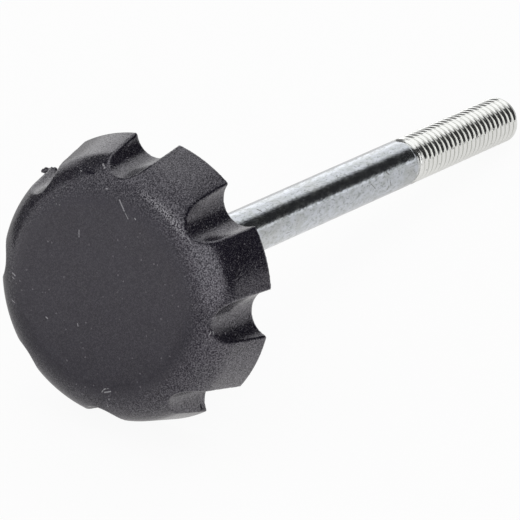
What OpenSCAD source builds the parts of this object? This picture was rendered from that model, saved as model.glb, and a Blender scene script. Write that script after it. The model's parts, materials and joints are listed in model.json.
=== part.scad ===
// Fluted knob screw: a long bolt moulded into an eight-lobed plastic hand knob.
//
// It lies as it comes to rest on a bench: the knob stands on the two rim corners on either side of
// one flute, and the tip of the bolt touches down at the far end. Millimetres, +Z up. The origin is
// under the middle of the whole screw, on the surface it lies on; the bolt points along +X.
//
// Each piece is drawn on the screw's own axis and then laid down. On that axis z = 0 is the plane of
// the knob's rear rim, the face is on the -Z side, the bolt's tip on the +Z side.

/* [Knob] */
// Diameter across the lobes at the rear rim
knob_d = 47; // [44:0.5:56]
// Height from the rear rim to the flat face
knob_h = 13.4; // [12.4:0.1:18]
// Draft of the side in degrees: the knob narrows from the rim towards the face
side_draft = 12.3; // [6:0.1:14]
// Radius that rolls the side into the face
shoulder_r = 6.2; // [4:0.1:7]

/* [Flutes] */
// Number of finger flutes around the knob
flute_count = 8; // [5:1:9]
// Width of a flute between its two corners on the rear rim
flute_w = 7.8; // [5:0.1:10]
// Depth of a flute at the rear rim, in from the lobes' circle
flute_depth = 3.5; // [2.5:0.1:4.5]
// Lean of a flute's floor towards the axis on its way to the face, in degrees
flute_lean = 3.5; // [0:0.5:5]

/* [Underside] */
// Thickness of the moulded wall behind the side and behind the flutes
wall = 2.4; // [1.6:0.1:3]
// Thickness of the moulding behind the face
face_t = 3; // [2:0.1:4]
// Diameter of the hub that holds the bolt
hub_d = 19; // [18:0.5:22]
// How far the hub stands out behind the rear rim, so that it clamps first
hub_proud = 0.4; // [0.2:0.1:1]
// Thickness of the webs between the hub and the flutes
web_t = 1.8; // [1:0.1:3]
// How far the webs stay below the rear rim
web_drop = 1.2; // [0.5:0.1:4]

/* [Bolt] */
// Length of the bolt under its head
bolt_len = 114.3; // [60:0.1:150]
// Diameter of the plain shank
shank_d = 7.9; // [6:0.1:8.5]
// Major diameter of the thread
thread_d = 7.9; // [6:0.1:8.5]
// Length of the threaded end, tip included
thread_len = 33; // [12:0.5:50]
// Diameter of the run-out neck between shank and thread
neck_d = 7.3; // [5:0.1:7.5]
// Length of the run-out neck
neck_len = 1.2; // [0.8:0.1:4]
// Chamfer at the tip
tip_chamfer = 1.3; // [0.5:0.1:2]

/* [Head in the hub] */
// Size of the hex head across its flats
head_af = 12.7; // [11:0.1:14]
// Height of the hex head
head_h = 5.2; // [4:0.1:6]
// Diameter of the fillet right under the head
fillet_d = 9.2; // [8.6:0.1:10]
// Length over which the fillet runs down to the shank; the hub covers it all
fillet_len = 2; // [1.2:0.1:3]
// Gap between the moulding and the bolt; the plastic shrinks on to the steel, so it is nought
mould_gap = 0; // [0:0.05:0.2]

/* [Hidden] */
$fn = 96;

// Knob outline
rim_r = knob_d / 2;
side_slope = tan(side_draft);
side_slant = 1 / cos(side_draft);
roll_steps = 8;

// A flute is a round cutter through both rim corners and through the flute's deepest point
half_w = flute_w / 2;
corner_dist = sqrt(rim_r * rim_r - half_w * half_w);
flute_rise = corner_dist - (rim_r - flute_depth);
flute_r = (half_w * half_w + flute_rise * flute_rise) / (2 * flute_rise);
flute_dist = rim_r - flute_depth + flute_r;
flute_step = 360 / flute_count;

// Bolt stations along the axis; the hub's rear face is where the fillet under the head ends
head_seat = fillet_len - hub_proud;
bolt_tip = bolt_len - head_seat;
thread_start = bolt_tip - thread_len;
neck_start = thread_start - neck_len;
neck_edge = (shank_d - neck_d) / 2;
thread_edge = (thread_d - neck_d) / 2;
head_corner_d = head_af / cos(30);

// How the screw lies: two rim corners and the tip's lower edge on one level
lie_tilt = atan((corner_dist - thread_d / 2) / (bolt_tip - tip_chamfer));
rim_height = corner_dist * cos(lie_tilt);

// Both ends of the lying screw along X, measured from the middle of the rear rim
shoulder_z = shoulder_r - knob_h;
shoulder_dist = rim_r + side_slope * shoulder_z - shoulder_r * side_slant;
face_end = shoulder_z * cos(lie_tilt) - shoulder_dist * sin(lie_tilt) - shoulder_r;
tip_end = bolt_tip * cos(lie_tilt) + (thread_d / 2 - tip_chamfer) * sin(lie_tilt);
rim_x = -(face_end + tip_end) / 2;

// Half outline of a drafted disc with a rolled shoulder: its face at z = -h, its side through
// (r, 0) and on up to z = top
module disc_outline(r, h, shoulder, top) {
    roll_z = shoulder - h;
    roll_x = r + side_slope * roll_z - shoulder * side_slant;
    roll_angle = 90 - side_draft;
    roll = [for (i = [0 : roll_steps])
        let (a = -90 + i * roll_angle / roll_steps)
            [roll_x + shoulder * cos(a), roll_z + shoulder * sin(a)]];
    polygon(concat([[0, -h]], roll, [[r + side_slope * top, top], [0, top]]));
}

// The round cutters of all flutes, or with extra > 0 the moulding's skin around them
module flutes(extra = 0) {
    for (i = [0 : flute_count - 1])
        rotate([0, 0, i * flute_step])
            translate([flute_dist, 0, 0])
                rotate([0, flute_lean, 0])
                    cylinder(h = 4 * knob_h, r = flute_r + extra, center = true);
}

// Flat webs from the hub to the back of each flute
module webs() {
    web_r = rim_r - flute_depth;
    for (i = [0 : flute_count - 1])
        rotate([0, 0, i * flute_step])
            translate([0, -web_t / 2, -knob_h])
                cube([web_r, web_t, knob_h - web_drop]);
}

// Space that the bolt fills inside the hub
module bolt_pocket() {
    translate([0, 0, -head_seat - head_h - mould_gap])
        cylinder(h = head_h + 2 * mould_gap, d = head_corner_d + 2 * mould_gap / cos(30), $fn = 6);
    translate([0, 0, -head_seat])
        cylinder(h = fillet_len, d1 = fillet_d + 2 * mould_gap, d2 = shank_d + 2 * mould_gap);
    cylinder(h = hub_proud + 1, d = shank_d + 2 * mould_gap);
}

// Cored underside: the knob's own outline one wall in, kept off the flutes, the hub and the webs
module core() {
    difference() {
        rotate_extrude()
            disc_outline(rim_r - wall * side_slant, knob_h - face_t, shoulder_r - wall, 1);
        flutes(wall);
        translate([0, 0, -knob_h]) cylinder(h = 2 * knob_h, d = hub_d);
        webs();
    }
}

// Moulded hand knob
module knob() {
    color([0.13, 0.13, 0.14])
        lie()
            difference() {
                union() {
                    difference() {
                        rotate_extrude() disc_outline(rim_r, knob_h, shoulder_r, 0);
                        flutes();
                    }
                    translate([0, 0, -face_t]) cylinder(h = face_t + hub_proud, d = hub_d);
                }
                core();
                bolt_pocket();
            }
}

// Hex-head bolt: head, fillet, plain shank, run-out neck, threaded end and chamfered tip
module bolt() {
    color([0.78, 0.80, 0.84])
        lie()
            union() {
                translate([0, 0, -head_seat - head_h])
                    cylinder(h = head_h, d = head_corner_d, $fn = 6);
                rotate_extrude()
                    polygon([
                        [0, -head_seat - head_h / 2],
                        [fillet_d / 2, -head_seat - head_h / 2],
                        [fillet_d / 2, -head_seat],
                        [shank_d / 2, hub_proud],
                        [shank_d / 2, neck_start - neck_edge],
                        [neck_d / 2, neck_start],
                        [neck_d / 2, thread_start],
                        [thread_d / 2, thread_start + thread_edge],
                        [thread_d / 2, bolt_tip - tip_chamfer],
                        [thread_d / 2 - tip_chamfer, bolt_tip],
                        [0, bolt_tip]
                    ]);
            }
}

// Turns a piece from the screw's own axis to the way the screw lies
module lie() {
    translate([rim_x, 0, rim_height])
        rotate([0, 90 + lie_tilt, 0])
            children();
}

knob();
bolt();
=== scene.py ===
"""Fluted knob screw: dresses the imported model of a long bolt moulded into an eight-lobed hand knob.

Shapes are worked out in millimetres on the screw's own axis (z = 0 on the plane of the knob's rear
rim, the face at -z, the bolt's tip at +z, x downwards as the screw lies) and then laid into the row
frame, which is in metres.
"""

import json
import math

import bpy
import numpy as np
from mathutils import Matrix, Vector


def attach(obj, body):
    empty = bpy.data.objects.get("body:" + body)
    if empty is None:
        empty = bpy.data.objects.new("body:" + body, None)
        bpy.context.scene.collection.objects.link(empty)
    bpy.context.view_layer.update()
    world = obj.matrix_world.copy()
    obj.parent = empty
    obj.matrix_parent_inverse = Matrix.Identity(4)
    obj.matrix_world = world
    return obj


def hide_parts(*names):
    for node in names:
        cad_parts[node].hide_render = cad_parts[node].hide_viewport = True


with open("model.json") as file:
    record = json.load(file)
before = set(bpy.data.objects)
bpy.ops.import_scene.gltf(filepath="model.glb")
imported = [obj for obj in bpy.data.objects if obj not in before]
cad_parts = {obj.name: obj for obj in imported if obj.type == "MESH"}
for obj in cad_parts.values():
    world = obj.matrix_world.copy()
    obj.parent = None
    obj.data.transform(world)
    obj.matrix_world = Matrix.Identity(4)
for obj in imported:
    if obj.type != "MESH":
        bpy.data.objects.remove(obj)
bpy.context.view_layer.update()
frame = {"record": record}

MM = 0.001

# ---------------------------------------------------------------- sizes, in mm

# Knob
KNOB_D = 47.0
KNOB_H = 13.4
SIDE_DRAFT = math.radians(12.3)
SHOULDER_R = 6.2
FLUTES = 8
FLUTE_W = 7.8
FLUTE_DEPTH = 3.5
FLUTE_LEAN = math.radians(3.5)
# Underside
WALL = 2.4
FACE_T = 3.0
HUB_D = 19.0
HUB_PROUD = 0.4
WEB_T = 1.8
WEB_DROP = 1.2
# Bolt
BOLT_D = 7.9
HEAD_AF = 12.7
HEAD_H = 5.2
FILLET_D = 9.2
FILLET_LEN = 2.0
NECK_D = 7.3
NECK_LEN = 1.2
TIP_CHAMFER = 1.3
THREAD_LEN = 33.0
PITCH = 25.4 / 18
# The thread's ridge, tuned to the photo's reflections rather than to a standard profile. From its crest it
# is rounded over these lengths towards knob and tip, up to the crest's slope, and straight flanks follow
CREST_TO_KNOB = 0.70
CREST_TO_TIP = 0.27
CREST_SLOPE = math.tan(math.radians(34))
FLANK_SLOPE = math.tan(math.radians(56))
# Small radii that a moulding has
FLUTE_EDGE_R = 0.25
RIM_EDGE_R = 0.15
CORE_EDGE_R = 0.5

HEAD_SEAT = FILLET_LEN - HUB_PROUD
RIM_R = KNOB_D / 2
SIDE_SLOPE = math.tan(SIDE_DRAFT)
CORNER_DIST = math.sqrt(RIM_R**2 - (FLUTE_W / 2) ** 2)
FLUTE_RISE = CORNER_DIST - (RIM_R - FLUTE_DEPTH)
FLUTE_R = ((FLUTE_W / 2) ** 2 + FLUTE_RISE**2) / (2 * FLUTE_RISE)
FLUTE_DIST = RIM_R - FLUTE_DEPTH + FLUTE_R

# ------------------------------------------------------- the screw's own frame

mounts = {m["name"]: m for m in frame["record"]["mounts"]}
thread_mount = mounts["thread"]
AXIS = Vector(thread_mount["axis"]).normalized()
DOWN = Vector((0, 1, 0)).cross(AXIS).normalized()
if DOWN.z > 0:
    DOWN.negate()
SIDE = AXIS.cross(DOWN)
# The mount stands on the hub's ring, beside the axis
hub_point = Vector(mounts["clamp_face"]["pos_m"])
hub_point.y = 0
RIM_CENTRE = hub_point - AXIS * HUB_PROUD * MM
LIE = (
    Matrix.Translation(RIM_CENTRE)
    @ Matrix((DOWN, SIDE, AXIS)).transposed().to_4x4()
    @ Matrix.Scale(MM, 4)
)
BOLT_TIP = (
    (Vector(thread_mount["pos_m"]) - RIM_CENTRE).dot(AXIS) / MM
    + thread_mount["dims"]["length_mm"] / 2
    + TIP_CHAMFER
)

# -------------------------------------------------------------------- camera

VIEW_AZIMUTH = math.radians(-57.8)
VIEW_ELEVATION = math.radians(27.7)
# Distance in metres, the photo's side and the lens's focal length in its pixels, the sensor in mm
VIEW_DISTANCE = 1.2694
IMAGE_SIDE = 520
LENS_PX = 8000
SENSOR_W = 36
# Where the middle of the knob's rear rim falls in the picture
RIM_CENTRE_PX = (146.0, 276.2)

cam_back = Vector((
    math.sin(VIEW_AZIMUTH) * math.cos(VIEW_ELEVATION),
    -math.cos(VIEW_AZIMUTH) * math.cos(VIEW_ELEVATION),
    math.sin(VIEW_ELEVATION),
))
cam_right = Vector((math.cos(VIEW_AZIMUTH), math.sin(VIEW_AZIMUTH), 0))
cam_up = cam_back.cross(cam_right)
metres_per_px = VIEW_DISTANCE / LENS_PX
off_x = (RIM_CENTRE_PX[0] - IMAGE_SIDE / 2) * metres_per_px
off_y = (RIM_CENTRE_PX[1] - IMAGE_SIDE / 2) * metres_per_px
cam_data = bpy.data.cameras.new("camera")
camera = bpy.data.objects.new("camera", cam_data)
bpy.context.scene.collection.objects.link(camera)
bpy.context.scene.camera = camera
cam_data.sensor_width = SENSOR_W
cam_data.lens = LENS_PX / IMAGE_SIDE * SENSOR_W
camera.matrix_world = Matrix.Translation(
    RIM_CENTRE - cam_right * off_x + cam_up * off_y + cam_back * VIEW_DISTANCE
) @ Matrix((cam_right, cam_up, cam_back)).transposed().to_4x4()


def pixel_ray(px, py):
    """Start and direction, on the screw's own axes in mm, of the sight line through a pixel."""
    ray = cam_right * (px - IMAGE_SIDE / 2) - cam_up * (py - IMAGE_SIDE / 2) - cam_back * LENS_PX
    to_own = LIE.inverted()
    return to_own @ camera.matrix_world.translation, (to_own.to_3x3() @ ray).normalized()


def pixel_to_own(px, py, z):
    """Point in mm on the screw's own axes that a pixel shows on the plane at height z."""
    start, ray = pixel_ray(px, py)
    return start + ray * ((z - start.z) / ray.z)


# Walking along a sight line: how far in front of the rim's middle it starts and how near the surface it
# ends, in mm, and the share of the gap that one step covers
WALK_START = 120
WALK_END = 0.003
WALK_SHARE = 0.6
WALK_STEPS = 400


def pixel_to_surface(px, py, field):
    """Point in mm on the screw's own axes where a pixel's sight line meets a field's surface."""
    start, ray = pixel_ray(px, py)
    point = start + ray * (VIEW_DISTANCE / MM - WALK_START)
    for _ in range(WALK_STEPS):
        gap = float(field(*point))
        point = point + ray * WALK_SHARE * gap
        if gap < WALK_END:
            break
    return point


# ------------------------------------------------------------ floor and light


class Wiring:
    """Shorthand for joining shader nodes."""

    def __init__(self, tree):
        self.nodes, self.links = tree.nodes, tree.links
        self.nodes.clear()

    def put(self, socket, value):
        """Links a socket to another one, or sets its own value."""
        if isinstance(value, bpy.types.NodeSocket):
            self.links.new(value, socket)
        elif value is not None:
            socket.default_value = value

    def node(self, kind, inputs=(), **settings):
        """New node with its settings, and its inputs linked or set."""
        made = self.nodes.new(kind)
        for key, value in settings.items():
            setattr(made, key, value)
        for key, value in dict(inputs).items():
            self.put(made.inputs[key], value)
        return made

    def math(self, operation, a, b=None):
        """Result of one math node."""
        made = self.nodes.new("ShaderNodeMath")
        made.operation = operation
        for socket, value in zip(made.inputs, (a, b)):
            self.put(socket, value)
        return made.outputs[0]

    def times(self, a, b):
        """a multiplied by b."""
        return self.math("MULTIPLY", a, b)

    def plus(self, a, b):
        """a and b added."""
        return self.math("ADD", a, b)

    def minus(self, a, b):
        """a less b."""
        return self.math("SUBTRACT", a, b)

    def vector(self, operation, a, b):
        """Result of one vector node: a number for a dot product or a distance, else a vector."""
        made = self.node("ShaderNodeVectorMath", {0: a, 1: b}, operation=operation)
        return made.outputs["Value" if operation in ("DOT_PRODUCT", "DISTANCE") else "Vector"]

    def ramp(self, value, start, end, low=0.0, high=1.0):
        """low below start, high above end, a smooth rise between."""
        made = self.node(
            "ShaderNodeMapRange",
            {"Value": value, "From Min": start, "From Max": end, "To Min": low, "To Max": high},
            interpolation_type="SMOOTHSTEP",
        )
        return made.outputs[0]

    def mix(self, share, a, b):
        """Colour a where share is 0, b where it is 1."""
        made = self.node("ShaderNodeMix", data_type="RGBA")
        # Sockets of the same names serve other kinds of value, so the colour ones go by number
        self.put(made.inputs[0], share)
        self.put(made.inputs[6], a)
        self.put(made.inputs[7], b)
        return made.outputs[2]

    def coat(self, color, mask, tint, share=1.0):
        """Colour covered where the mask is 1 by this share of a tint."""
        return self.mix(self.times(mask, share), color, tint)


def flat_object(name, corners):
    """Single flat face with a fresh material: gives the object and the wiring of its shader."""
    mesh = bpy.data.meshes.new(name)
    mesh.from_pydata(corners, [], [list(range(len(corners)))])
    obj = bpy.data.objects.new(name, mesh)
    bpy.context.scene.collection.objects.link(obj)
    mat = bpy.data.materials.new(name)
    mat.use_nodes = True
    mesh.materials.append(mat)
    return obj, Wiring(mat.node_tree)


WHITE = (1, 1, 1, 1)

# Floor: size in metres, its paint, and the share of it that camera and gloss see as backdrop
FLOOR_R = 6.0
FLOOR_SIDES = 64
FLOOR_PAINT = (0.93, 0.93, 0.93, 1)
CAMERA_SHARE = 0.93
GLOSS_SHARE = 0.7
GLOSS_TINT = (1, 0.985, 0.975, 1)
# What gloss sees there, painted light and shade: in front of the face a painted shadow of the knob that
# changes along this direction in x and y, beside the bolt a tone that changes along x. A stretch is in
# metres, and its two tones are those at its ends
ROUND_FACE = (0.63, -0.78)
FACE_STRETCH = (-0.16, -0.07)
FACE_SHADOW_TONES = (0.76, 0.34)
BOLT_STRETCH = (-0.03, 0.05)
BOLT_TONES = (1.18, 0.78)
# Where the face's part gives way to the bolt's
CHANGE_STRETCH = (-0.075, 0.0)
# A painted shade further out beside the knob: its edge in y, its two ends in x and what it takes away
DARK_EDGE = (-0.10, -0.065)
DARK_START = (-0.30, -0.10)
DARK_END = (0.0, 0.05)
DARK_LOSS = 0.65


def make_floor():
    """White floor: shaded by the object, and lifted to white where the camera looks at it."""
    turns = [2 * math.pi * i / FLOOR_SIDES for i in range(FLOOR_SIDES)]
    floor, w = flat_object("floor", [(FLOOR_R * math.cos(t), FLOOR_R * math.sin(t), 0) for t in turns])
    shaded = w.node("ShaderNodeBsdfDiffuse", {"Color": FLOOR_PAINT})
    white = w.node("ShaderNodeEmission", {"Color": WHITE, "Strength": 1.0})
    paths = w.node("ShaderNodeLightPath").outputs
    lift = w.times(paths["Is Camera Ray"], CAMERA_SHARE)
    seen = w.node("ShaderNodeMixShader", {0: lift, 1: shaded.outputs[0], 2: white.outputs[0]})

    # In gloss, painted light and shade: the knob's painted shadow grey in front of the face, white beside the
    # knob and greyer to the tip, painted shade further out
    place = w.node("ShaderNodeTexCoord").outputs["Object"]
    x, y, _ = w.node("ShaderNodeSeparateXYZ", {0: place}).outputs
    beside = w.plus(w.times(x, ROUND_FACE[0]), w.times(y, ROUND_FACE[1]))
    painted_face_shadow = w.ramp(beside, *FACE_STRETCH, *FACE_SHADOW_TONES)
    painted_bolt_side_tone = w.ramp(x, *BOLT_STRETCH, *BOLT_TONES)
    change = w.ramp(beside, *CHANGE_STRETCH)
    painted_floor_tone = w.plus(painted_face_shadow, w.times(change, w.minus(painted_bolt_side_tone, painted_face_shadow)))
    between_ends = w.times(w.ramp(x, *DARK_END, 1, 0), w.ramp(x, *DARK_START))
    dark = w.times(w.ramp(y, *DARK_EDGE, 1, 0), between_ends)
    painted_floor_tone = w.times(painted_floor_tone, w.minus(1.0, w.times(dark, DARK_LOSS)))
    backdrop = w.node("ShaderNodeEmission", {"Color": GLOSS_TINT, "Strength": painted_floor_tone})
    mirrored = w.math("MAXIMUM", paths["Is Glossy Ray"], paths["Is Transmission Ray"])
    share = w.times(mirrored, GLOSS_SHARE)
    mix = w.node("ShaderNodeMixShader", {0: share, 1: seen.outputs[0], 2: backdrop.outputs[0]})
    w.node("ShaderNodeOutputMaterial", {"Surface": mix.outputs[0]})


# Dark card: its size and place in metres, and its glow
CARD_W = 0.075
CARD_H = 0.20
CARD_LEFT = -0.088
CARD_BACK = 0.15
CARD_GLOW = 0.13


def make_card():
    """Dark card standing behind the knob, which only gloss shows."""
    feet = [(CARD_LEFT, CARD_BACK, 0), (CARD_LEFT + CARD_W, CARD_BACK, 0)]
    card, w = flat_object("card", feet + [(x, y, CARD_H) for x, y, _ in reversed(feet)])
    dark = w.node("ShaderNodeEmission", {"Color": WHITE, "Strength": CARD_GLOW})
    w.node("ShaderNodeOutputMaterial", {"Surface": dark.outputs[0]})
    card.visible_camera = False
    card.visible_diffuse = False
    card.visible_shadow = False


# Studio that gloss and shading see. Each patch: azimuth and elevation of its middle, the degrees from there
# within which it is full and beyond which it is gone, and what it adds to the level
STUDIO_LEVEL = 1.05
STUDIO_PATCHES = {
    "grey on the left": (148, -5, 40, 76, -0.33),
    "glow past the tip": (40, 5, 4, 24, 0.4),
    "lamp right of the camera": (-124, 22, 16, 34, 0.5),
    "dark high up behind": (56, 41, 16, 25, -0.92),
}
# Black flag: the degrees of azimuth or elevation over which each edge fades. Its near end is the one
# towards the camera
FLAG_NEAR = (-98, -88)
FLAG_FAR = (-10, 6)
FLAG_FOOT = (3, 8)
FLAG_TOP = (28, 46)
FLAG_LOSS = 0.97
# Its top sinks by this share of the azimuth, and is as given above where the azimuth is this
TOP_FALL = 0.35
TOP_GIVEN_AT = -3
# Its foot is this much lower at the near end, and the change takes this stretch of azimuth
FOOT_DROP = 14
FOOT_DROP_AT = (-48, -34)
# Its near end reaches this much further high up, and the change takes this stretch of elevation
NEAR_REACH = 20
NEAR_REACH_AT = (34, 46)


def patch(w, direction, azimuth, elevation, inner, outer):
    """1 within inner degrees of a direction, 0 beyond outer, both given in degrees."""
    a, e = math.radians(azimuth), math.radians(elevation)
    towards = (math.cos(a) * math.cos(e), math.sin(a) * math.cos(e), math.sin(e))
    closeness = w.vector("DOT_PRODUCT", direction, towards)
    return w.ramp(closeness, math.cos(math.radians(outer)), math.cos(math.radians(inner)))


def flag_mask(w, azimuth, elevation):
    """1 on the black flag, which is low on the right, 0 off it."""
    for_top = w.plus(elevation, w.times(w.minus(azimuth, TOP_GIVEN_AT), TOP_FALL))
    for_foot = w.plus(elevation, w.ramp(azimuth, *FOOT_DROP_AT, FOOT_DROP, 0))
    for_near = w.plus(azimuth, w.ramp(elevation, *NEAR_REACH_AT, 0, NEAR_REACH))
    wide = w.times(w.ramp(for_near, *FLAG_NEAR), w.ramp(azimuth, *FLAG_FAR, 1, 0))
    high = w.times(w.ramp(for_foot, *FLAG_FOOT), w.ramp(for_top, *FLAG_TOP, 1, 0))
    return w.times(wide, high)


def make_world():
    """White studio with its patches and flag, and plain white where the camera looks at it."""
    world = bpy.data.worlds.new("studio")
    bpy.context.scene.world = world
    world.use_nodes = True
    w = Wiring(world.node_tree)
    direction = w.node("ShaderNodeTexCoord").outputs["Generated"]
    axes = w.node("ShaderNodeSeparateXYZ", {0: direction}).outputs
    azimuth = w.math("DEGREES", w.math("ARCTAN2", axes[1], axes[0]))
    elevation = w.math("DEGREES", w.math("ARCSINE", axes[2]))
    level = STUDIO_LEVEL
    for *where, gain in STUDIO_PATCHES.values():
        level = w.plus(level, w.times(patch(w, direction, *where), gain))
    level = w.times(level, w.minus(1.0, w.times(flag_mask(w, azimuth, elevation), FLAG_LOSS)))

    studio = w.node("ShaderNodeBackground", {"Color": WHITE, "Strength": level})
    backdrop = w.node("ShaderNodeBackground", {"Color": WHITE, "Strength": 1.0})
    paths = w.node("ShaderNodeLightPath").outputs
    seen = w.math("MAXIMUM", paths["Is Camera Ray"], paths["Is Transmission Ray"])
    mix = w.node("ShaderNodeMixShader", {0: seen, 1: studio.outputs[0], 2: backdrop.outputs[0]})
    w.node("ShaderNodeOutputWorld", {"Surface": mix.outputs[0]})


make_floor()
make_card()
make_world()
bpy.context.scene.view_settings.view_transform = "Standard"

# ------------------------------------------------------------- knob as a field


def round_max(a, b, r):
    """Common part of two solids given as distances, their edge rounded by radius r."""
    return np.minimum(-r, np.maximum(a, b)) + np.hypot(np.maximum(a + r, 0), np.maximum(b + r, 0))


def round_min(a, b, r):
    """Union of two solids given as distances, the corner between them filled by radius r."""
    return -round_max(-a, -b, r)


def drafted_disc(rho, z, side_in, face_z, roll):
    """Distance to a disc whose side leans by the draft and rolls into its face."""
    side = (rho - RIM_R - SIDE_SLOPE * z) * math.cos(SIDE_DRAFT) + side_in
    return round_max(side, face_z - z, roll)


def hexagon(x, y, flats):
    """Distance to a hexagon across its flats."""
    return np.maximum.reduce([
        np.abs(x * math.cos(a) + y * math.sin(a)) for a in (math.pi / 6, math.pi / 2, 5 * math.pi / 6)
    ]) - flats / 2


# Scraps of moulding flash on the rear rim of the top left flute, by their pixels, with radii and height in mm
FLASH_PX = ((43.5, 171.0), (46.0, 169.0), (49.0, 170.5), (52.0, 168.7), (55.0, 169.5))
FLASH_RADII = (0.40, 0.34, 0.46, 0.34, 0.42)
FLASH_HEIGHT = -0.2
FLASH = [pixel_to_own(*pixel, FLASH_HEIGHT) for pixel in FLASH_PX]


def knob_field(x, y, z):
    """Distance to the knob's surface, below nought inside the plastic."""
    rho = np.hypot(x, y)
    step = 2 * math.pi / FLUTES
    turn = (np.arctan2(y, x) + step / 2) % step - step / 2
    out, across = rho * np.cos(turn), rho * np.sin(turn)
    off_cutter = (out - FLUTE_DIST - math.tan(FLUTE_LEAN) * z) * math.cos(FLUTE_LEAN)
    flute = np.hypot(off_cutter, across) - FLUTE_R

    shell = round_max(drafted_disc(rho, z, 0, -KNOB_H, SHOULDER_R), z, RIM_EDGE_R)
    shell = round_max(shell, -flute, FLUTE_EDGE_R)

    web = np.maximum(np.abs(across) - WEB_T / 2, z + WEB_DROP)
    solid_inside = round_min(rho - HUB_D / 2, web, CORE_EDGE_R)
    solid_inside = round_min(solid_inside, flute - WALL, CORE_EDGE_R)
    core = drafted_disc(rho, z, WALL, FACE_T - KNOB_H, SHOULDER_R - WALL)
    core = round_max(core, -solid_inside, CORE_EDGE_R)
    shell = round_max(shell, -core, RIM_EDGE_R)

    hub = round_max(rho - HUB_D / 2, z - HUB_PROUD, 2 * RIM_EDGE_R)
    hub = np.maximum(hub, -FACE_T - z)
    shell = np.minimum(shell, hub)

    for scrap, radius in zip(FLASH, FLASH_RADII):
        off_scrap = np.sqrt((x - scrap.x) ** 2 + (y - scrap.y) ** 2 + (z - scrap.z) ** 2)
        shell = np.minimum(shell, off_scrap - radius)

    fillet = np.clip(1 - (z + HEAD_SEAT) / FILLET_LEN, 0, 1) * (FILLET_D - BOLT_D) / 2
    bore = np.maximum(rho - BOLT_D / 2 - fillet, -HEAD_SEAT - z)
    pocket = np.maximum(hexagon(x, y, HEAD_AF), np.abs(z + HEAD_SEAT + HEAD_H / 2) - HEAD_H / 2)
    return np.maximum(shell, -np.minimum(bore, pocket))


def surface_of(field, low, high, cell):
    """Quads on the zero surface of a field: one vertex in each grid cell that the surface crosses."""
    axes = [np.arange(a, b + cell, cell) for a, b in zip(low, high)]
    value = field(*np.meshgrid(*axes, indexing="ij")).astype(np.float32)
    shape = np.array(value.shape) - 1
    total = np.zeros((*shape, 3), np.float32)
    count = np.zeros(shape, np.float32)
    crossings = []
    for axis in range(3):
        # Grid edges along this axis that the surface crosses, and the point where it does
        starts = [slice(None)] * 3
        ends = [slice(None)] * 3
        starts[axis] = slice(0, -1)
        ends[axis] = slice(1, None)
        start, end = value[tuple(starts)], value[tuple(ends)]
        edge = np.argwhere((start < 0) != (end < 0))
        start, end = start[tuple(edge.T)], end[tuple(edge.T)]
        point = edge.astype(np.float32)
        point[:, axis] += start / (start - end)
        # Each point counts in the four cells round its edge, and their vertices make a quad
        second, third = (axis + 1) % 3, (axis + 2) % 3
        ring = []
        for back_second, back_third in ((0, 0), (1, 0), (1, 1), (0, 1)):
            cells = edge.copy()
            cells[:, second] -= back_second
            cells[:, third] -= back_third
            ring.append(cells)
            np.add.at(total, tuple(cells.T), point)
            np.add.at(count, tuple(cells.T), 1)
        crossings.append((ring, start < 0))
    used = np.flatnonzero(count.ravel())
    number = np.full(count.size, -1)
    number[used] = np.arange(len(used))
    points = total.reshape(-1, 3)[used] / count.ravel()[used, None] * cell + np.array(low)
    quads = []
    for ring, outward in crossings:
        quad = np.stack([number[np.ravel_multi_index(tuple(cells.T), count.shape)] for cells in ring], 1)
        quads.append(np.where(outward[:, None], quad, quad[:, ::-1]))
    return points.astype(np.float64), np.concatenate(quads)


# Least squared slope of a field that settling reckons with, so that no point is thrown far
MIN_STEEPNESS = 0.25


def settle(field, points, rounds=3, reach=0.02):
    """Moves points on to the field's zero surface, whose slope is taken over reach."""
    for _ in range(rounds):
        value = field(*points.T)
        slope = np.stack([
            (field(*(points + d).T) - field(*(points - d).T)) / (2 * reach) for d in np.eye(3) * reach
        ], 1)
        steepness = np.maximum((slope**2).sum(1), MIN_STEEPNESS)
        points = points - slope * (value / steepness)[:, None]
    return points


def mesh_object(name, points, faces):
    """Links a smooth mesh given in mm on the screw's own axis, laid into the row frame."""
    mesh = bpy.data.meshes.new(name)
    mesh.from_pydata(points.tolist(), [], faces)
    mesh.transform(LIE)
    mesh.validate()
    mesh.update()
    mesh.shade_smooth()
    obj = bpy.data.objects.new(name, mesh)
    bpy.context.scene.collection.objects.link(obj)
    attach(obj, "root")
    return obj


def float_attribute(obj, name, values):
    """Stores one number for each point of a mesh, for its shader."""
    layer = obj.data.attributes.new(name, "FLOAT", "POINT")
    layer.data.foreach_set("value", np.asarray(values, np.float32))


# The grid's cells, and its margin round the knob
CELL = 0.32
MARGIN = 0.7
points, quads = surface_of(
    knob_field,
    (-RIM_R - MARGIN, -RIM_R - MARGIN, -KNOB_H - MARGIN),
    (RIM_R + MARGIN, RIM_R + MARGIN, HUB_PROUD + MARGIN),
    CELL,
)
points = settle(knob_field, points)
knob = mesh_object("knob_moulding", points, quads.tolist())
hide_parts("knob")

# ---------------------------------------------------------------------- bolt


def ridge_drop(along):
    """Depth below its crest of a single ridge's surface, along mm towards the tip from the crest."""
    reach = np.where(along < 0, CREST_TO_KNOB, CREST_TO_TIP)
    near = np.minimum(np.abs(along), reach)
    return near**2 * CREST_SLOPE / (2 * reach) + (np.abs(along) - near) * FLANK_SLOPE


def thread_drop(turn, z, start):
    """Depth of the thread at an angle and height on the bolt: right-hand, run out at its start."""
    along = (z - turn / (2 * math.pi) * PITCH) % PITCH
    drop = np.minimum(ridge_drop(along), ridge_drop(along - PITCH))
    return drop * np.clip((z - start) / PITCH, 0, 1)


NECK_END = BOLT_TIP - THREAD_LEN
NECK_START = NECK_END - NECK_LEN
# The shank rolls in to the neck over this length, which begins this far before the neck
NECK_ROLL = 0.6
NECK_LEAD = 0.5
# How finely the bolt is divided
AROUND = 96
SHANK_RINGS = 90
NECK_RINGS = 14
RINGS_A_TURN = 24
# Height between the two rings of the flat face under the head
HEAD_FACE = 0.001


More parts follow.
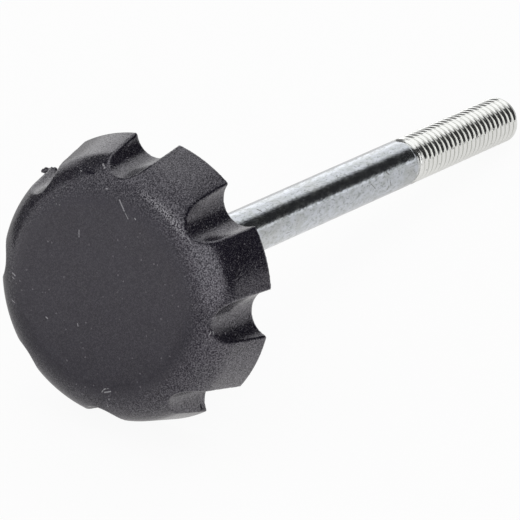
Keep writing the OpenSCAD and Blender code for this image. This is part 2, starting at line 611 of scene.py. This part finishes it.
def bolt_rings():
    """Heights of the rings along the bolt, close together on the thread."""
    head = [-HEAD_SEAT - HEAD_H, -HEAD_SEAT - HEAD_FACE, -HEAD_SEAT]
    shank = np.linspace(FILLET_LEN - HEAD_SEAT, NECK_START - NECK_ROLL, SHANK_RINGS)
    neck = np.linspace(NECK_START - NECK_ROLL, NECK_END, NECK_RINGS)[1:]
    thread = np.arange(NECK_END, BOLT_TIP, PITCH / RINGS_A_TURN)[1:]
    return np.concatenate([head, shank, neck, thread, [BOLT_TIP]])


def make_bolt():
    """Hex head, fillet, shank, neck and thread as one closed skin of rings."""
    heights = bolt_rings()
    turn = np.linspace(0, 2 * math.pi, AROUND, endpoint=False)
    z, t = np.meshgrid(heights, turn, indexing="ij")
    blend = np.clip((z - NECK_START + NECK_LEAD) / NECK_ROLL, 0, 1)
    neck_r = BOLT_D / 2 - (BOLT_D - NECK_D) / 2 * blend * blend * (3 - 2 * blend)
    drop = thread_drop(t, z, NECK_END)
    hex_r = HEAD_AF / 2 / np.cos(t % (math.pi / 3) - math.pi / 6)
    radius = np.where(z < NECK_END, neck_r, BOLT_D / 2 - drop)
    radius = np.where(z <= -HEAD_SEAT, FILLET_D / 2, radius)
    radius = np.where(z < -HEAD_SEAT, hex_r, radius)
    radius = np.minimum(radius, BOLT_D / 2 - TIP_CHAMFER + (BOLT_TIP - z))
    points = np.stack([radius * np.cos(t), radius * np.sin(t), z], -1).reshape(-1, 3)

    rings = len(heights)
    below, here = np.meshgrid(np.arange(rings - 1) * AROUND, np.arange(AROUND), indexing="ij")
    above = below + AROUND
    beside = (here + 1) % AROUND
    quads = np.stack([below + here, below + beside, above + beside, above + here], -1)
    head_end = list(range(AROUND))[::-1]
    tip_end = list(range((rings - 1) * AROUND, rings * AROUND))
    obj = mesh_object("bolt_shank", points, quads.reshape(-1, 4).tolist() + [tip_end, head_end])
    float_attribute(obj, "thread", np.clip((points[:, 2] - NECK_START) / NECK_LEN, 0, 1))
    float_attribute(obj, "groove", np.where(z < NECK_END, 0, drop).ravel())
    return obj


bolt = make_bolt()
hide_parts("bolt")

# ----------------------------------------------------------------- materials


def own_mm(w):
    """Position in mm on the screw's own axes."""
    at = w.node("ShaderNodeTexCoord").outputs["Object"]
    at = w.vector("SUBTRACT", at, tuple(RIM_CENTRE))
    along = [w.vector("DOT_PRODUCT", at, tuple(d / MM)) for d in (DOWN, SIDE, AXIS)]
    return w.node("ShaderNodeCombineXYZ", {0: along[0], 1: along[1], 2: along[2]}).outputs[0]


def noise(w, at, scale, detail, rough=0.5):
    """Noise whose blotches are about 1 / scale mm across."""
    return w.node("ShaderNodeTexNoise", {
        "Vector": at, "Scale": scale, "Detail": detail, "Roughness": rough,
    }).outputs["Fac"]


def dots(w, at, scale, fade, chosen):
    """Dots in some cells about 1 / scale mm wide: fade is where a dot ends, chosen which cells have one."""
    cell = w.node("ShaderNodeTexVoronoi", {"Vector": at, "Scale": scale}, feature="F1")
    lot = w.node("ShaderNodeSeparateColor", {0: cell.outputs["Color"]}).outputs[0]
    return w.times(w.ramp(cell.outputs["Distance"], *fade, 1, 0), w.ramp(lot, *chosen))


def attribute(w, name):
    """Number that the mesh stores for each point."""
    return w.node("ShaderNodeAttribute", attribute_name=name).outputs["Fac"]


def bump(w, height, depth_mm, normal=None):
    """Bump whose height runs from 0 to depth_mm, on top of another normal if there is one."""
    made = w.node("ShaderNodeBump", {"Height": height, "Distance": depth_mm * MM, "Strength": 1.0})
    w.put(made.inputs["Normal"], normal)
    return made.outputs[0]


# Shares of a mark's half width over which it fades
STROKE_FADE = (0.5, 1.3)


def stroke(w, at, start, end, half_width):
    """1 on the line between two points given in mm, 0 away from it."""
    run = end - start
    off = w.vector("SUBTRACT", at, tuple(start))
    along = w.vector("DOT_PRODUCT", off, tuple(run / run.length_squared))
    share = w.node("ShaderNodeClamp", {0: along}).outputs[0]
    nearest = w.node("ShaderNodeVectorMath", {0: tuple(run), 3: share}, operation="SCALE").outputs[0]
    distance = w.vector("DISTANCE", off, nearest)
    return w.ramp(distance, half_width * STROKE_FADE[0], half_width * STROKE_FADE[1], 1, 0)


def strokes(w, at, marks, field):
    """Mask of all marks, each (start pixel, end pixel, half width in mm) on the field's surface."""
    mask = 0.0
    for start_px, end_px, half_width in marks.values():
        start, end = (pixel_to_surface(*pixel, field) for pixel in (start_px, end_px))
        mask = w.math("MAXIMUM", mask, stroke(w, at, start, end, half_width))
    return mask


def shank_field(x, y, z):
    """Distance to the shank's skin."""
    return math.hypot(x, y) - BOLT_D / 2


# Marks, by the pixels of their two ends and their half width in mm
KNOB_PALE_MARKS = {
    "long scratch": ((119.5, 200.0), (124.5, 211.5), 0.10),
    "its tail": ((124.5, 211.5), (128.0, 219.0), 0.06),
    "upright nick": ((79.0, 230.0), (79.0, 237.0), 0.07),
    "curl, left": ((102.0, 392.0), (104.5, 389.0), 0.10),
    "curl, top": ((104.5, 389.0), (109.5, 388.5), 0.08),
    "curl, foot": ((104.5, 392.5), (110.5, 391.5), 0.11),
    "tick under it": ((109.0, 396.0), (109.0, 400.0), 0.08),
    "lower tick": ((107.0, 404.0), (108.0, 407.0), 0.08),
    "scuff, top": ((12.5, 273.0), (15.0, 275.5), 0.12),
    "scuff, left": ((9.5, 277.5), (10.5, 281.0), 0.10),
    "scuff, right": ((12.5, 277.0), (15.5, 280.0), 0.09),
    "scuff, foot": ((12.0, 300.0), (15.0, 303.0), 0.08),
    "small ring, left": ((209.5, 334.5), (211.0, 332.0), 0.10),
    "small ring, right": ((213.0, 331.5), (214.0, 334.5), 0.09),
    "shoulder tick": ((103.0, 164.0), (104.5, 168.0), 0.16),
    "white fleck": ((80.5, 170.5), (81.5, 171.0), 0.10),
    "fleck, lower left": ((46.0, 317.0), (47.5, 318.5), 0.10),
    "fleck, low": ((77.5, 323.5), (78.0, 326.0), 0.08),
    "fleck, mid": ((106.0, 188.5), (107.5, 189.0), 0.10),
    "fleck, ring": ((134.5, 218.0), (135.5, 219.5), 0.10),
}
KNOB_DARK_MARKS = {
    "pit in the lower flute": ((200.8, 405.0), (201.6, 409.0), 0.24),
    "sink in the top band": ((87.0, 172.0), (93.5, 173.0), 0.30),
}
SHANK_DARK_MARKS = {
    "spot": ((257.5, 209.5), (261.0, 211.0), 0.18),
    "scratch": ((286.0, 233.5), (291.5, 231.5), 0.05),
    "tick 1": ((386.5, 172.0), (389.0, 174.5), 0.10),
    "tick 2": ((390.5, 182.0), (391.0, 186.0), 0.10),
    "tick 3": ((388.5, 186.0), (387.0, 190.0), 0.09),
    "tick 4": ((371.0, 184.0), (375.5, 189.0), 0.07),
    "nick in the band": ((339.0, 190.5), (341.0, 191.5), 0.12),
}

# Colours of the plastic: two shades of it, pale specks of its grain with painted glints, dust, the rubbed
# edge, pale marks
PLASTIC = (0.0062, 0.0052, 0.0105, 1)
PLASTIC_LIGHTER = (0.0092, 0.0080, 0.0145, 1)
SPECK_AND_PAINTED_GLINT = (0.048, 0.046, 0.054, 1)
DUST = (0.16, 0.155, 0.165, 1)
RUBBED = (0.25, 0.245, 0.26, 1)
SCRATCHED = (0.36, 0.355, 0.37, 1)
# Its sheen
PLASTIC_IOR = 1.75
PLASTIC_SHEEN = (0.95, 0.92, 1.0, 1)
# Colours of the zinc: two shades of it, flakes, stains, two shades on the thread, painted shade in the
# grooves, pits, dirt
ZINC = (0.59, 0.62, 0.67, 1)
ZINC_DARKER = (0.48, 0.51, 0.52, 1)
FLAKE = (0.30, 0.32, 0.33, 1)
STAIN = (0.42, 0.42, 0.38, 1)
THREAD = (0.97, 0.975, 0.955, 1)
THREAD_DARKER = (0.87, 0.88, 0.855, 1)
GROOVE_SHADE = (0.30, 0.31, 0.27, 1)
PIT = (0.16, 0.16, 0.17, 1)
DIRT = (0.11, 0.10, 0.09, 1)
# Blotches of the zinc are longer along the bolt than across it
DRAWN_OUT = (1, 1, 0.45)


def plastic_material():
    """Black glass-filled plastic from a spark-textured mould: fine grain with painted glints, pale specks."""
    mat = bpy.data.materials.new("black_plastic")
    mat.use_nodes = True
    w = Wiring(mat.node_tree)
    at = own_mm(w)
    grainy = attribute(w, "grain")
    fine = noise(w, at, scale=3.0, detail=0)
    grit = noise(w, at, scale=4.6, detail=1)
    cloud = noise(w, at, scale=0.25, detail=2)
    dust = dots(w, at, scale=1.4, fade=(0.10, 0.24), chosen=(0.84, 0.88))
    speck_and_painted_glint = w.times(w.ramp(grit, 0.52, 0.68), w.ramp(grainy, 0, 1, low=0.25))
    worn = w.times(attribute(w, "worn"), w.ramp(grit, 0.40, 0.62))
    broken = w.ramp(noise(w, at, scale=2.2, detail=1), 0.34, 0.50)
    pale = w.times(strokes(w, at, KNOB_PALE_MARKS, knob_field), broken)
    dark = strokes(w, at, KNOB_DARK_MARKS, knob_field)

    color = w.mix(w.ramp(cloud, 0.3, 0.7), PLASTIC, PLASTIC_LIGHTER)
    # Pale specks of the grain, partly painted glints standing in for light caught by the grain
    color = w.coat(color, speck_and_painted_glint, SPECK_AND_PAINTED_GLINT)
    color = w.coat(color, dust, DUST, share=0.75)
    color = w.coat(color, worn, RUBBED)
    color = w.coat(color, pale, SCRATCHED, share=0.75)

    # The texture is beads with a finer grit on them, and grains differ in how much they shine
    beads = w.times(w.ramp(fine, 0.58, 0.84), w.ramp(grainy, 0, 1, low=0.10))
    shine = w.plus(0.5, w.times(w.ramp(grit, 0.3, 0.7, low=-0.35, high=0.35), grainy))
    shine = w.times(shine, w.minus(1.0, w.times(dark, 0.9)))
    bsdf = w.node("ShaderNodeBsdfPrincipled", {
        "Base Color": color,
        "Roughness": w.plus(w.ramp(grit, 0.3, 0.7, low=0.14, high=0.20), w.times(cloud, 0.06)),
        "IOR": PLASTIC_IOR,
        "Specular IOR Level": shine,
        "Specular Tint": PLASTIC_SHEEN,
        "Normal": bump(w, beads, depth_mm=0.022, normal=bump(w, grit, depth_mm=0.012)),
    })
    w.node("ShaderNodeOutputMaterial", {"Surface": bsdf.outputs[0]})
    return mat


def zinc_material():
    """Bright zinc plate on cold-drawn steel: cloudy sheen, flakes drawn out along it, small pits."""
    mat = bpy.data.materials.new("zinc_steel")
    mat.use_nodes = True
    w = Wiring(mat.node_tree)
    at = own_mm(w)
    drawn = w.vector("MULTIPLY", at, DRAWN_OUT)
    mottle = noise(w, drawn, scale=1.3, detail=2, rough=0.6)
    flakes = noise(w, drawn, scale=3.4, detail=0)
    stain = noise(w, at, scale=0.16, detail=1)
    pits = dots(w, drawn, scale=1.1, fade=(0.05, 0.16), chosen=(0.66, 0.72))
    dirt = strokes(w, at, SHANK_DARK_MARKS, shank_field)

    color = w.mix(w.ramp(mottle, 0.35, 0.7), ZINC, ZINC_DARKER)
    color = w.coat(color, w.ramp(flakes, 0.58, 0.76), FLAKE, share=0.6)
    color = w.coat(color, w.ramp(stain, 0.5, 0.7), STAIN, share=0.3)
    color = w.coat(color, attribute(w, "thread"), w.mix(mottle, THREAD, THREAD_DARKER))
    # Painted shade: the thread's grooves darkened by their depth
    color = w.coat(color, w.ramp(attribute(w, "groove"), 0.12, 0.30), GROOVE_SHADE, share=0.8)
    color = w.coat(color, pits, PIT, share=0.6)
    color = w.coat(color, dirt, DIRT, share=0.8)

    height = w.plus(w.times(mottle, 0.7), w.times(flakes, 0.3))
    height = w.minus(height, w.times(pits, 0.5))
    bsdf = w.node("ShaderNodeBsdfPrincipled", {
        "Base Color": color,
        "Metallic": 1.0,
        "Roughness": w.ramp(mottle, 0.3, 0.75, low=0.09, high=0.24),
        "Normal": bump(w, height, depth_mm=0.03),
    })
    w.node("ShaderNodeOutputMaterial", {"Surface": bsdf.outputs[0]})
    return mat


# Radius of the knob's flat face, and how the grain sets in beyond it, from its strength on the face
FACE_R = RIM_R + SIDE_SLOPE * (SHOULDER_R - KNOB_H) - SHOULDER_R / math.cos(SIDE_DRAFT)
GRAIN_FROM = 0.3
GRAIN_OVER = 2.2
FACE_GRAIN = 0.24
# Rubbed arc: pixels of its ends and middle, half its width in mm, and how far its ends fade in radians
WORN_ARC_PX = ((138.0, 189.0), (192.0, 246.0))
WORN_MIDDLE_PX = (166.0, 213.0)
WORN_HALF_W = 0.45
WORN_FADE = 0.25


def knob_grain(points):
    """How strong the mould's texture is: weak on the rubbed face, full on shoulder and side."""
    rho = np.hypot(points[:, 0], points[:, 1])
    return np.clip((rho - FACE_R - GRAIN_FROM) / GRAIN_OVER, 0, 1) * (1 - FACE_GRAIN) + FACE_GRAIN


def face_edge_wear(points):
    """Rubbed pale band where the face rolls off."""
    middle = pixel_to_surface(*WORN_MIDDLE_PX, knob_field)
    ends = [pixel_to_surface(*pixel, knob_field) for pixel in WORN_ARC_PX]
    first, last = sorted(math.atan2(p.y, p.x) for p in ends)
    turn = np.arctan2(points[:, 1], points[:, 0])
    inside = np.clip((turn - first) / WORN_FADE, 0, 1) * np.clip((last - turn) / WORN_FADE, 0, 1)
    off_middle = np.hypot(points[:, 0], points[:, 1]) - math.hypot(middle.x, middle.y)
    return inside * np.exp(-((off_middle / WORN_HALF_W) ** 2)) * (points[:, 2] < -KNOB_H / 2)


float_attribute(knob, "worn", face_edge_wear(points))
float_attribute(knob, "grain", knob_grain(points))
knob.data.materials.append(plastic_material())
bolt.data.materials.append(zinc_material())
